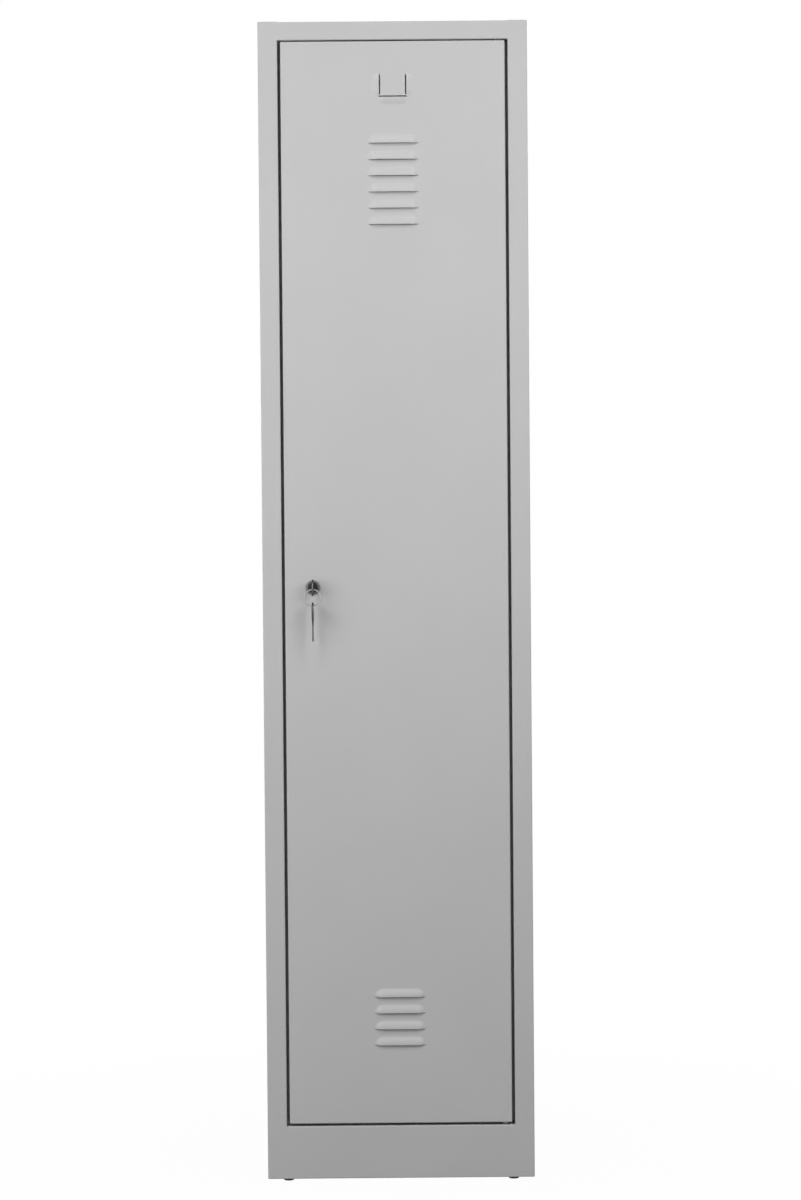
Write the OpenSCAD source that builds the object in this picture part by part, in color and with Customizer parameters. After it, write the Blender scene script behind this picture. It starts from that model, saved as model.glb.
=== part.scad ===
// Steel clothing locker with one door, a hat shelf, a hanging rail and a key lock.
// Millimetres. X runs to the viewer's right, Y to the back and Z up.
// The origin is the centre of the footprint, on the floor.

/* [Body] */
// Width over the side panels
body_w = 415; // [360:1:500]
// Depth from the front of the door frame to the back
body_d = 500; // [440:1:560]
// Height of the top above the floor
body_h = 1800; // [1700:1:1950]
// Thickness of the sheet steel
sheet_t = 0.7; // [0.6:0.1:0.9]
// Outer radius of every bend
bend_r = 1.8; // [1.5:0.1:2.4]
// Space between the floor and the body, with the feet screwed in
floor_gap = 7.6; // [3.6:0.2:12]

/* [Door frame] */
// Width of the frame's face beside the door
stile_w = 30; // [27:0.5:36]
// Height of the frame's face above the door
top_rail_h = 29; // [26:0.5:40]
// Height of the plinth's face below the door
plinth_h = 82; // [70:1:110]
// Depth of the recess that the door closes into
jamb_d = 25; // [24:0.5:27]
// Width of the stop that stands into the doorway
rebate_w = 12.8; // [11:0.2:14]
// Width of the flanges along the back and the top
edge_flange_w = 17.5; // [14:0.5:22]
// Width of the flanges along the bottom
base_flange_w = 25; // [20:0.5:26]

/* [Door] */
// Gap at each side of the door
side_gap = 4.5; // [4:0.1:5.5]
// Gap above the door
top_gap = 2.1; // [2:0.1:4]
// Gap below the door
bottom_gap = 4; // [3:0.1:5]
// Thickness of the folded door
door_t = 18; // [17:0.5:19]
// Width of the lip round the back of the door
door_lip = 12; // [9:0.5:15]
// Width of the stiffener's crown
stiffener_w = 60; // [40:1:80]
// Height of the stiffener above the door sheet
stiffener_d = 13; // [9:0.5:15]
// Width of each of the stiffener's flanges
stiffener_flange = 15; // [10:0.5:20]
// Space between the stiffener and the nearest vents
stiffener_margin = 35; // [25:1:80]

/* [Vents] */
// Number of louvres near the top
upper_vents = 6; // [3:1:8]
// Number of louvres near the bottom
lower_vents = 4; // [2:1:6]
// Distance from one louvre to the next
vent_pitch = 25; // [18:0.5:32]
// Width of a louvre
vent_w = 76; // [60:1:120]
// Height of a louvre's hood
vent_h = 12; // [9:0.5:15]
// How far a hood stands out of the door
vent_out = 4.2; // [3:0.1:5]
// Distance from the body's top down to the highest louvre's open edge
upper_vent_drop = 187; // [150:0.5:230]
// Distance from the body's bottom up to the lowest louvre's open edge
lower_vent_rise = 208; // [170:0.5:260]

/* [Card holder] */
// Width between the two side lips
card_w = 42; // [36:0.5:60]
// Length of the side lips
card_h = 34; // [28:0.5:45]
// Length of the bottom lip
card_foot_w = 48; // [40:0.5:56]
// Space between the bottom lip's open edge and the side lips
card_step = 2; // [1.5:0.1:4]
// Width of a lip, across its opening
card_lip = 11; // [8:0.5:14]
// How far a lip stands out of the door
card_out = 2.4; // [2:0.1:3]
// Distance from the body's top down to the bottom lip's open edge
card_drop = 116; // [100:0.5:130]

/* [Hinges] */
// Distance of the hinge axis from the door's edge
hinge_inset = 10; // [9.6:0.1:10.4]
// Diameter of the hinge pins
pin_d = 6; // [5:0.1:7]
// Radial play of a pin in its bush
pin_play = 0.05; // [0.03:0.01:0.08]
// Wall of a bush
bush_wall = 1.5; // [1.2:0.1:2]
// Width of a bush's collar
collar_w = 2; // [1.5:0.1:3]
// Length of a bush past its collar
bush_l = 6; // [4:0.5:9]
// Thickness of a hinge bracket
bracket_t = 2; // [1.5:0.1:3]
// Length of a pin inside the door, past its bracket
pin_tail = 9; // [6:0.5:14]

/* [Lock] */
// Distance of the lock from the door's edge
lock_inset = 43.5; // [38:0.5:60]
// Height of the lock above the floor
lock_rise = 928; // [850:1:1000]
// Diameter of the lock's head
lock_head_d = 22; // [21:0.5:26]
// How far the lock's head stands out of the door
lock_head_t = 3.5; // [3:0.1:5]
// Diameter of the lock's body
lock_body_d = 18; // [17:0.5:19]
// Width across the body's two flats
lock_flat_w = 16; // [15:0.5:17]
// Diameter of the plug
plug_d = 13; // [12.5:0.1:14]
// Play of the plug in the body, on the radius
plug_play = 0.05; // [0.03:0.01:0.08]
// Distance between the stop and the cam that turns behind it
cam_gap = 1.1; // [0.8:0.1:2]
// How far the cam reaches past the stop's edge when locked
cam_bite = 10; // [7:0.2:10.8]
// Width of the cam
cam_w = 14; // [11:0.5:16]
// Thickness of the cam
cam_t = 2; // [1.5:0.1:3]

/* [Keys] */
// Thickness of a key
key_t = 2.2; // [1.8:0.1:2.6]
// Width of a key's bow
bow_d = 25; // [22:0.5:28]
// Length of a key's bow
bow_l = 31; // [28:0.5:32]
// Diameter of the hole in the bow
bow_hole_d = 8; // [6:0.5:9]
// Distance from the hole to the bow's end
bow_rim = 8; // [7:0.1:9]
// Width of the neck below the bow
neck_w = 9; // [8.2:0.1:10]
// Width of a key's blade
blade_w = 7; // [5:0.1:7.4]
// Distance from the hole to the shoulder
shoulder_reach = 25; // [24.5:0.1:29]
// Distance from the hole to the blade's tip
tip_reach = 51.8; // [48:0.1:52.8]
// Diameter of the key ring, along the middle of its wire
ring_d = 25; // [22:0.5:35]
// Diameter of the key ring's wire
ring_wire = 2; // [1.4:0.1:2.4]
// Turn of the spare key about its length, as it hangs
spare_turn = 5.5; // [0:0.5:8]

/* [Inside] */
// Distance from the body's top down to the hat shelf
shelf_drop = 300; // [260:1:350]
// Distance of the shelf's edge behind the front of the body
shelf_setback = 45; // [40:1:80]
// Height of the shelf's folded edge
shelf_edge = 18; // [14:0.5:25]
// Height of the compartment's floor above the door opening's sill
floor_step = 8; // [6:0.5:10]
// Diameter of the hanging rail
rail_d = 25; // [20:0.5:30]
// Wall of the hanging rail
rail_wall = 1.2; // [1:0.1:2]
// Distance from the shelf down to the middle of the rail
rail_drop = 60; // [50:1:90]
// Distance of each coat hook from the middle of the rail
hook_spread = 80; // [60:1:100]
// Diameter of the hooks' wire
hook_wire = 4; // [3:0.1:5]
// Distance from the rail's middle down to the middle of the hook's bend
hook_drop = 62; // [55:1:90]
// Radius of the hook's bend, along the middle of its wire
hook_bend = 13; // [11:0.5:16]

/* [Feet and fixings] */
// Distance of a foot from the side and from the front or back
foot_inset = 31.5; // [31:0.5:34]
// Diameter of a foot's pad
pad_d = 16; // [14:0.5:26]
// Diameter of a foot's stud
stud_d = 8; // [6:0.5:8]
// Height of a stud's end above the floor, with the foot screwed in
stud_h = 42; // [36:1:50]
// Width across the flats of a foot's nut
nut_w = 13; // [12.5:0.5:15]
// Height of a foot's nut
nut_h = 6.5; // [5:0.5:8]
// Thickness of a foot's corner plate
foot_plate_t = 2.5; // [2:0.5:4]
// Side of a foot's corner plate
foot_plate_w = 48; // [44:1:55]
// Diameter of the two holes for fixing the locker to a wall
wall_hole_d = 8.5; // [6:0.5:10]
// Distance between the two wall holes
wall_hole_span = 300; // [200:1:320]
// Distance from the body's top down to the wall holes
wall_hole_drop = 100; // [60:1:200]

/* [Hidden] */
$fn = 64;
// Running clearance between pieces that pass without touching
ease = 0.3;
// How far a cutting shape reaches past what it cuts
over = 1;
// Clearance of a fixed part in its hole, on the radius
seat = 0.05;

// Bends
in_r = bend_r - sheet_t;

// Body
x_side = body_w / 2;
x_wall = x_side - sheet_t;
x_flat = x_side - bend_r;
y_front = -body_d / 2;
y_back = body_d / 2;
y_flat = y_back - bend_r;
y_lining = y_back - 2 * sheet_t;
z_low = floor_gap;
z_sill = floor_gap + plinth_h;
z_head = body_h - top_rail_h;
z_roof = body_h - sheet_t;
x_jamb = x_side - stile_w;
x_rebate = x_jamb - rebate_w;
y_rebate = y_front + jamb_d;
y_step = y_rebate + sheet_t - bend_r;
x_base = x_side - base_flange_w;
plinth_flange = 20;
floor_z = z_sill + floor_step;
floor_edge = 18;

// Door
door_w = 2 * (x_jamb - side_gap);
door_low = z_sill + bottom_gap;
door_high = z_head - top_gap;
door_h = door_high - door_low;
door_mid = (door_high + door_low) / 2;
y_skin = y_front + sheet_t;
y_door_back = y_front + door_t;
x_door = door_w / 2;

// Vents and card holder
vent_top = body_h - upper_vent_drop;
vent_bottom = z_low + lower_vent_rise;
card_z = body_h - card_drop;
stiffener_low = vent_bottom + (lower_vents - 1) * vent_pitch + stiffener_margin;
stiffener_high = vent_top - (upper_vents - 1) * vent_pitch - stiffener_margin;

// Hinges
x_hinge = x_door - hinge_inset;
y_hinge = y_front + door_t / 2;
bush_r = pin_d / 2 + pin_play + bush_wall;
collar_r = bush_r + collar_w;
upper_collar = top_gap - ease;
lower_collar = (bottom_gap - ease) / 2;
hinge_plate_w = door_t - 2 * bend_r;
hinge_plate_l = 45;

// Lock, whose parts are drawn along an axis that runs into the locker from the door's face
x_lock = -x_door + lock_inset;
lock_body_l = door_t + 6;
cam_front = jamb_d + sheet_t + cam_gap;
cam_l = x_lock + x_rebate + cam_bite;
lock_nut_w = lock_body_d + 6;
lock_nut_h = 4;
tail_w = 7;
washer_t = 1;
screw_r = 2;
screw_head_r = 4;
screw_head_t = 2.4;
screw_grip = 4;

// Keys, measured from the centre of the hole in the bow
key_hole_out = lock_head_t + ease + shoulder_reach;
slot_w = key_t + ease;
slot_h = blade_w + 2 * ease;
slot_end = tip_reach - key_hole_out + 2 * ease;
wire_r = ring_wire / 2;
ring_sag = bow_hole_d / 2 - wire_r - 0.2;
ring_drop = ring_sag + ring_d / 2;
spare_drop = ring_drop + ring_d / 2 + ring_sag;

// Inside
z_shelf = body_h - shelf_drop;
z_rail = z_shelf - rail_drop;
clip_w = 20;
clip_t = 1.5;
clip_l = 60;
socket_t = 2;
socket_depth = 14;
socket_wall = 2.2;
socket_flange = 9;
hook_ring_r = rail_d / 2 + ease + hook_wire / 2 + 1.2;
hook_ring_drop = hook_ring_r - hook_wire / 2 - rail_d / 2 - ease;
hook_tip = 8;
hook_ball_d = hook_wire + 3;
buffer_r = 3.5;
buffer_spacing = 600;

// Feet
x_foot = x_side - foot_inset;
y_foot = y_back - foot_inset;
z_plate = z_low + sheet_t;
pad_t = floor_gap - ease;
pad_round = 1.2;

// Quarter ring of sheet about a bend's centre, in the quadrant that the two signs name
module elbow(sx, sy) {
    intersection() {
        difference() {
            circle(r = bend_r);
            circle(r = in_r);
        }
        translate([min(sx, 0) * 2 * bend_r, min(sy, 0) * 2 * bend_r])
            square(2 * bend_r);
    }
}

// Flat stretch of a folded section, between two corners
module run(x0, y0, x1, y1) {
    translate([x0, y0]) square([x1 - x0, y1 - y0]);
}

// Extrudes a section drawn in Y and Z along X, centred
module along_x(length) {
    translate([-length / 2, 0, 0]) rotate([90, 0, 90]) linear_extrude(length) children();
}

// Extrudes a section drawn in X and Z along Y, between two stations
module along_y(y0, y1) {
    translate([0, y1, 0]) rotate([90, 0, 0]) linear_extrude(y1 - y0) children();
}

// Extrudes a section drawn in X and Y up Z, between two heights
module along_z(z0, z1) {
    translate([0, 0, z0]) linear_extrude(z1 - z0) children();
}

// Places what is drawn facing +Z on the door's face, facing the viewer
module on_door(x, z) {
    translate([x, y_front, z]) rotate([90, 0, 0]) children();
}

// Places what is drawn up Z on the lock's axis, running into the locker from the door's face
module on_lock() {
    translate([x_lock, y_front, lock_rise]) rotate([-90, 0, 0]) children();
}

// Folded edge of a tray: outwards along X from its bend's centre, and up from its face
module tray_edge(depth, lipped) {
    translate([0, bend_r]) elbow(1, -1);
    run(in_r, bend_r, bend_r, lipped ? depth - bend_r : depth);
    if (lipped) translate([0, depth - bend_r]) elbow(1, 1);
}

// Sheet folded up on four sides, with its face down at Z = 0, and lips turned in where lip is over 0
module tray(w, l, depth, lip = 0) {
    fx = w / 2 - bend_r;
    fy = l / 2 - bend_r;
    translate([-fx, -fy, 0]) cube([2 * fx, 2 * fy, sheet_t]);
    for (side = [0, 1]) {
        rotate([0, 0, 180 * side]) {
            translate([fx, fy, 0]) rotate([90, 0, 0]) linear_extrude(2 * fy) tray_edge(depth, lip > 0);
            translate([-fx, fy, 0]) rotate([90, 0, 90]) linear_extrude(2 * fx) tray_edge(depth, lip > 0);
            translate([fx, fy, 0]) rotate_extrude(angle = 90) tray_edge(depth, lip > 0);
            translate([-fx, fy, 0]) rotate([0, 0, 90]) rotate_extrude(angle = 90) tray_edge(depth, lip > 0);
        }
    }
    if (lip > 0) {
        translate([0, 0, depth - sheet_t]) linear_extrude(sheet_t) difference() {
            square([2 * fx, 2 * fy], center = true);
            square([w - 2 * lip, l - 2 * lip], center = true);
        }
    }
}

// Half of a hood's section: height above its open edge along X, and outwards along Y
module hood_section(h, out, inset) {
    bow_r = (h * h + out * out) / (2 * out);
    intersection() {
        translate([0, out - bow_r]) circle(r = bow_r - inset);
        translate([0, -sheet_t - (inset > 0 ? over : 0)]) square([h + over, out + 2 * over + sheet_t]);
    }
}

// Pressed hood with rounded ends and its open edge on the X axis, solid back to the sheet's inner face
module hood(w, h, out, inset) {
    half = w / 2 - h;
    along_x(2 * half) hood_section(h, out, inset);
    translate([half, 0, 0]) rotate_extrude(angle = 90) hood_section(h, out, inset);
    translate([-half, 0, 0]) rotate([0, 0, 90]) rotate_extrude(angle = 90) hood_section(h, out, inset);
}

// Every hood on the door: the louvres, and the three lips that hold a card
module hoods(inset) {
    for (i = [0 : upper_vents - 1])
        on_door(0, vent_top - i * vent_pitch) hood(vent_w, vent_h, vent_out, inset);
    for (i = [0 : lower_vents - 1])
        on_door(0, vent_bottom + i * vent_pitch) hood(vent_w, vent_h, vent_out, inset);
    for (side = [-1, 1])
        on_door(side * card_w / 2, card_z + card_step + card_h / 2)
            rotate([0, 0, -90 * side]) hood(card_h, card_lip, card_out, inset);
    on_door(0, card_z) rotate([0, 0, 180]) hood(card_foot_w, card_lip, card_out, inset);
}

// Left side panel's section at the height of the door, in X and Y
module side_section() {
    translate([-x_flat, -y_flat]) elbow(-1, -1);
    run(-x_side, -y_flat, -x_wall, y_flat);
    translate([-x_flat, y_flat]) elbow(-1, 1);
    run(-x_flat, y_back - sheet_t, edge_flange_w - x_side, y_back);
}

// Face, return and stop of the door frame's left side, in X and Y
module jamb_section() {
    run(-x_flat, y_front, -x_jamb - bend_r, y_skin);
    translate([-x_jamb - bend_r, -y_flat]) elbow(1, -1);
    run(-x_jamb - sheet_t, -y_flat, -x_jamb, y_step);
    translate([-x_jamb + in_r, y_step]) elbow(-1, 1);
    run(-x_jamb + in_r, y_rebate, -x_rebate, y_rebate + sheet_t);
}

// Left side panel's flange along the top, in X and Z
module side_top_section() {
    translate([-x_flat, body_h - bend_r]) elbow(-1, 1);
    run(-x_flat, z_roof, edge_flange_w - x_side, body_h);
}

// Left side panel's flange along the bottom, in X and Z
module side_base_section() {
    translate([-x_flat, z_low + bend_r]) elbow(-1, -1);
    run(-x_flat, z_low, -x_base, z_low + sheet_t);
}

// Rounded end of an upright bend, where it meets the flange above or below
module bend_cap() {
    rotate_extrude(angle = 90) elbow(1, 1);
}

// Side of the body: wall, door frame's side, and the flanges round it
module side_panel() {
    along_z(z_sill, z_head) {
        side_section();
        jamb_section();
    }
    along_z(z_low + bend_r, z_sill) {
        side_section();
        run(-x_flat, y_front, -x_jamb, y_skin);
    }
    along_z(z_head, body_h - bend_r) {
        side_section();
        run(-x_flat, y_front, -x_jamb, y_skin);
    }
    along_y(-y_flat, y_flat) {
        side_top_section();
        side_base_section();
    }
    // Rolled top and bottom edges of the frame's face and of the back flange
    for (edge = [[-1, x_flat - x_jamb], [1, edge_flange_w - bend_r]]) {
        translate([-x_flat + edge[1] / 2, edge[0] * y_flat, body_h - bend_r])
            along_x(edge[1]) elbow(edge[0], 1);
        translate([-x_flat + edge[1] / 2, edge[0] * y_flat, z_low + bend_r])
            along_x(edge[1]) elbow(edge[0], -1);
    }
    for (y = [-1, 1]) {
        translate([-x_flat, y * y_flat, body_h - bend_r])
            rotate([0, 0, y < 0 ? 180 : 90]) bend_cap();
        translate([-x_flat, y * y_flat, z_low + bend_r])
            mirror([0, 0, 1]) rotate([0, 0, y < 0 ? 180 : 90]) bend_cap();
    }
}

module left_side_panel() {
    color("lightgray") side_panel();
}

module right_side_panel() {
    color("lightgray") mirror([1, 0, 0]) side_panel();
}

module back_panel() {
    inner_y = y_lining + sheet_t - bend_r;
    color("silver") difference() {
        union() {
            translate([-x_flat, y_lining, z_low + bend_r])
                cube([2 * x_flat, sheet_t, body_h - z_low - 2 * bend_r]);
            along_x(2 * (x_base - ease)) {
                translate([inner_y, z_low + bend_r]) elbow(1, -1);
                run(y_back - plinth_flange, z_low, inner_y, z_low + sheet_t);
            }
        }
        for (side = [-1, 1])
            translate([side * wall_hole_span / 2, y_back + over, body_h - wall_hole_drop])
                rotate([90, 0, 0]) cylinder(d = wall_hole_d, h = 2 * over + 2 * sheet_t);
    }
}

// Face, return and stop above the door, in Y and Z
module top_rail_section() {
    translate([-y_flat, z_roof - bend_r]) elbow(-1, 1);
    run(y_front, z_head + bend_r, y_skin, z_roof - bend_r);
    translate([-y_flat, z_head + bend_r]) elbow(-1, -1);
    run(-y_flat, z_head, y_step, z_head + sheet_t);
}

module top_stop_section() {
    z_turn = z_head + sheet_t - bend_r;
    translate([y_step, z_turn]) elbow(1, 1);
    run(y_rebate, z_head - rebate_w, y_rebate + sheet_t, z_turn);
}

// Roof with a flange down at the back, in Y and Z
module roof_section() {
    y_turn = y_lining - bend_r;
    z_turn = z_roof - bend_r;
    run(-y_flat, z_roof - sheet_t, y_turn, z_roof);
    translate([y_turn, z_turn]) elbow(1, 1);
    run(y_lining - sheet_t, z_turn - edge_flange_w, y_lining, z_turn);
}

module top_panel() {
    color("lightgray") difference() {
        union() {
            along_x(2 * x_flat) roof_section();
            along_x(2 * x_jamb) top_rail_section();
            along_x(2 * x_rebate) top_stop_section();
        }
        translate([x_hinge, y_hinge, z_head - over])
            cylinder(r = bush_r + seat, h = 2 * over + sheet_t);
    }
}

// Plinth's bottom flange, face and return, in Y and Z
module plinth_section() {
    run(-y_flat, z_low, y_front + plinth_flange, z_low + sheet_t);
    translate([-y_flat, z_low + bend_r]) elbow(-1, -1);
    run(y_front, z_low + bend_r, y_skin, z_sill - bend_r);
    translate([-y_flat, z_sill - bend_r]) elbow(-1, 1);
    run(-y_flat, z_sill - sheet_t, y_step, z_sill);
}

module bottom_stop_section() {
    z_turn = z_sill + in_r;
    translate([y_step, z_turn]) elbow(1, -1);
    run(y_rebate, z_turn, y_rebate + sheet_t, z_sill + rebate_w);
}

module plinth() {
    color("lightgray") difference() {
        union() {
            along_x(2 * x_jamb) plinth_section();
            along_x(2 * x_rebate) bottom_stop_section();
        }
        translate([x_hinge, y_hinge, z_sill - sheet_t - over])
            cylinder(r = bush_r + seat, h = 2 * over + sheet_t);
    }
}

// Floor of the compartment, folded down on four sides, with two ears that close the frame's hollow sides
module floor_pan() {
    y0 = y_rebate + sheet_t;
    y_ear = y_skin + ease;
    color("lightgray") {
        translate([0, (y0 + y_lining) / 2, floor_z])
            rotate([180, 0, 0]) tray(2 * x_wall, y_lining - y0, floor_edge);
        for (side = [0, 1])
            mirror([side, 0, 0]) translate([x_jamb + bend_r, y_ear, floor_z - sheet_t])
                cube([x_flat - x_jamb - bend_r, y0 + bend_r - y_ear, sheet_t]);
    }
}

// Runs its children at the four feet, each turned so that the body's corner lies at +X +Y
module at_feet() {
    for (x = [-1, 1])
        for (y = [-1, 1])
            translate([x * x_foot, y * y_foot, 0]) mirror([x < 0 ? 1 : 0, 0, 0])
                mirror([0, y < 0 ? 1 : 0, 0]) children();
}

module foot_plates() {
    reach = foot_inset - bend_r - sheet_t - ease;
    color("gray") at_feet() difference() {
        translate([reach - foot_plate_w, reach - foot_plate_w, z_plate])
            cube([foot_plate_w, foot_plate_w, foot_plate_t]);
        translate([0, 0, z_plate - over]) cylinder(d = stud_d + 1, h = foot_plate_t + 2 * over);
    }
}

module foot_nuts() {
    color("silver") at_feet() translate([0, 0, z_plate + foot_plate_t]) difference() {
        cylinder(d = nut_w / cos(30), h = nut_h, $fn = 6);
        translate([0, 0, -over]) cylinder(r = stud_d / 2 + seat, h = nut_h + 2 * over);
    }
}

// Rubber-soled pad with a rounded foot and a socket for its stud
module foot_pad(x, y) {
    color("dimgray") translate([x * x_foot, y * y_foot, 0]) difference() {
        rotate_extrude() {
            intersection() {
                translate([pad_d / 2 - pad_round, pad_round]) circle(r = pad_round);
                square([pad_d, pad_round]);
            }
            square([pad_d / 2 - pad_round, pad_t]);
            translate([0, pad_round]) square([pad_d / 2, pad_t - pad_round]);
        }
        translate([0, 0, pad_t / 2]) cylinder(d = stud_d, h = pad_t);
    }
}

module foot_stud(x, y) {
    color("silver") translate([x * x_foot, y * y_foot, pad_t / 2])
        cylinder(d = stud_d, h = stud_h - pad_t / 2);
}

module hat_shelf() {
    y0 = y_front + shelf_setback;
    y1 = y_lining - ease;
    color("lightgray") translate([0, (y0 + y1) / 2, z_shelf])
        rotate([180, 0, 0]) tray(2 * (x_wall - ease), y1 - y0, shelf_edge, 10);
}

// Angle brackets that carry the shelf's folded edges
module shelf_clips() {
    z0 = z_shelf - shelf_edge;
    color("lightgray") for (side = [-1, 1])
        for (y = [y_front + shelf_setback + clip_l, y_lining - clip_l])
            mirror([side < 0 ? 1 : 0, 0, 0]) along_y(y - clip_l / 2, y + clip_l / 2) {
                run(x_wall - clip_w, z0 - clip_t, x_wall, z0);
                run(x_wall - clip_t, z0 - clip_w, x_wall, z0);
            }
}

module hanging_rail() {
    length = 2 * (x_wall - socket_t - ease);
    color("silver") translate([0, 0, z_rail]) along_x(length) difference() {
        circle(d = rail_d);
        circle(d = rail_d - 2 * rail_wall);
    }
}

// Flanged cups on the side panels that hold the ends of the rail
module rail_sockets() {
    r = rail_d / 2 + seat;
    color("silver") for (side = [-1, 1])
        translate([side * x_wall, 0, z_rail]) rotate([0, -90 * side, 0]) difference() {
            union() {
                cylinder(r = r + socket_wall + socket_flange, h = socket_t);
                cylinder(r = r + socket_wall, h = socket_depth);
            }
            translate([0, 0, socket_t]) cylinder(r = r, h = socket_depth);
        }
}

// Flanged nylon bush with its collar down at Z = 0
module bush(collar_t) {
    difference() {
        union() {
            cylinder(r = collar_r, h = collar_t);
            cylinder(r = bush_r, h = collar_t + bush_l);
        }
        translate([0, 0, -over])
            cylinder(r = pin_d / 2 + pin_play, h = collar_t + bush_l + 2 * over);
    }
}

module upper_bush() {
    color("dimgray") translate([x_hinge, y_hinge, z_head - upper_collar]) bush(upper_collar);
}

module lower_bush() {
    color("dimgray") translate([x_hinge, y_hinge, z_sill + lower_collar])
        mirror([0, 0, 1]) bush(lower_collar);
}

// Steel thrust washer that the door turns on
module hinge_washer() {
    color("silver") translate([x_hinge, y_hinge, z_sill + lower_collar]) difference() {
        cylinder(r = collar_r, h = lower_collar);
        translate([0, 0, -over]) cylinder(r = pin_d / 2 + pin_play, h = lower_collar + 2 * over);
    }
}

// Rubber stops on the lock's side of the frame
module door_buffers() {
    color("black") for (i = [-1, 1])
        translate([-x_rebate - buffer_r - ease, y_rebate, lock_rise + i * buffer_spacing / 2])
            rotate([90, 0, 0]) cylinder(r = buffer_r, h = y_rebate - y_door_back - ease);
}

module door_skin() {
    lock_hole = lock_body_d / 2 + ease;
    color("lightgray") difference() {
        union() {
            translate([0, y_front, door_mid]) rotate([-90, 0, 0]) tray(door_w, door_h, door_t, door_lip);
            hoods(0);
        }
        hoods(sheet_t);
        on_lock() translate([0, 0, -over]) intersection() {
            cylinder(r = lock_hole, h = 2 * over + sheet_t);
            translate([-lock_flat_w / 2 - ease, -lock_hole, 0])
                cube([lock_flat_w + 2 * ease, 2 * lock_hole, 2 * over + sheet_t]);
        }
        translate([x_hinge, y_hinge, door_low - over])
            cylinder(r = pin_d / 2 + seat, h = 2 * over + sheet_t);
        translate([x_hinge, y_hinge, door_high - sheet_t - over])
            cylinder(r = pin_d / 2 + seat, h = 2 * over + sheet_t);
    }
}

// Half of the hat section behind the door's sheet, in X and Y
module stiffener_half() {
    web = stiffener_w / 2;
    crown = y_skin + stiffener_d;
    run(web + in_r, y_skin, web - sheet_t + stiffener_flange, y_skin + sheet_t);
    translate([web + in_r, y_skin + bend_r]) elbow(-1, -1);
    run(web - sheet_t, y_skin + bend_r, web, crown - bend_r);
    translate([web - bend_r, crown - bend_r]) elbow(1, 1);
    run(0, crown - sheet_t, web - bend_r, crown);
}

module door_stiffener() {
    color("lightgray") along_z(stiffener_low, stiffener_high) {
        stiffener_half();
        mirror([1, 0]) stiffener_half();
    }
}

// Plate inside the door that holds a hinge pin, from z up
module hinge_bracket(z) {
    color("silver") difference() {
        translate([x_door - bend_r - hinge_plate_l, y_hinge - hinge_plate_w / 2, z])
            cube([hinge_plate_l, hinge_plate_w, bracket_t]);
        translate([x_hinge, y_hinge, z - over])
            cylinder(r = pin_d / 2 + seat, h = bracket_t + 2 * over);
    }
}

module upper_hinge_bracket() {
    hinge_bracket(door_high - sheet_t - bracket_t);
}

module lower_hinge_bracket() {
    hinge_bracket(door_low + sheet_t);
}

// Hinge pin standing up from Z = 0, with a head that sits against its bracket
module hinge_pin(reach) {
    cylinder(d = pin_d, h = pin_tail + bracket_t + sheet_t + reach);
    cylinder(r = bush_r, h = pin_tail);
}

module upper_hinge_pin() {
    color("silver") translate([x_hinge, y_hinge, door_high - sheet_t - bracket_t - pin_tail])
        hinge_pin(top_gap + bush_l - over);
}

module lower_hinge_pin() {
    color("silver") translate([x_hinge, y_hinge, door_low + sheet_t + bracket_t + pin_tail])
        mirror([0, 0, 1]) hinge_pin(bottom_gap + bush_l - over);
}

// Housing of the lock: rounded head outside the door, threaded body with two flats inside
module lock_body() {
    edge = 1;
    color("dimgray") on_lock() difference() {
        union() {
            translate([0, 0, -lock_head_t])
                cylinder(r1 = lock_head_d / 2 - edge, r2 = lock_head_d / 2, h = edge);
            translate([0, 0, edge - lock_head_t]) cylinder(d = lock_head_d, h = lock_head_t - edge);
            intersection() {
                cylinder(d = lock_body_d, h = lock_body_l);
                translate([-lock_flat_w / 2, -lock_body_d / 2, 0])
                    cube([lock_flat_w, lock_body_d, lock_body_l]);
            }
        }
        translate([0, 0, -lock_head_t - over])
            cylinder(r = plug_d / 2 + plug_play, h = lock_head_t + lock_body_l + 2 * over);
    }
}

// Nut behind the door's sheet that clamps the lock
module lock_nut() {
    color("silver") on_lock() translate([0, 0, sheet_t]) difference() {
        cylinder(d = lock_nut_w / cos(30), h = lock_nut_h, $fn = 6);
        translate([0, 0, -over]) cylinder(r = lock_body_d / 2 + seat, h = lock_nut_h + 2 * over);
    }
}

// Plug with its keyway, and a square tail for the cam
module lock_plug() {
    color("silver") on_lock() difference() {
        union() {
            translate([0, 0, -lock_head_t]) cylinder(d = plug_d, h = lock_head_t + cam_front);
            translate([-tail_w / 2, -tail_w / 2, cam_front - over]) cube([tail_w, tail_w, cam_t + over]);
        }
        translate([-slot_w / 2, -slot_h / 2, -lock_head_t - over])
            cube([slot_w, slot_h, lock_head_t + over + slot_end]);
        translate([0, 0, cam_front + cam_t - screw_grip])
            cylinder(r = screw_r + seat, h = screw_grip + over);
    }
}

// Cam hanging down, turned behind the frame's stop to lock the door
module lock_cam() {
    color("silver") on_lock() translate([0, 0, cam_front]) linear_extrude(cam_t) difference() {
        union() {
            circle(d = cam_w + 3);
            translate([-cam_w / 2, 0]) square([cam_w, cam_l - cam_w / 2]);
            translate([0, cam_l - cam_w / 2]) circle(d = cam_w);
        }
        square(tail_w + 2 * seat, center = true);
    }
}

module cam_washer() {
    color("silver") on_lock() translate([0, 0, cam_front + cam_t]) difference() {
        cylinder(r = tail_w, h = washer_t);
        translate([0, 0, -over]) cylinder(r = screw_r + seat, h = washer_t + 2 * over);
    }
}

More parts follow.
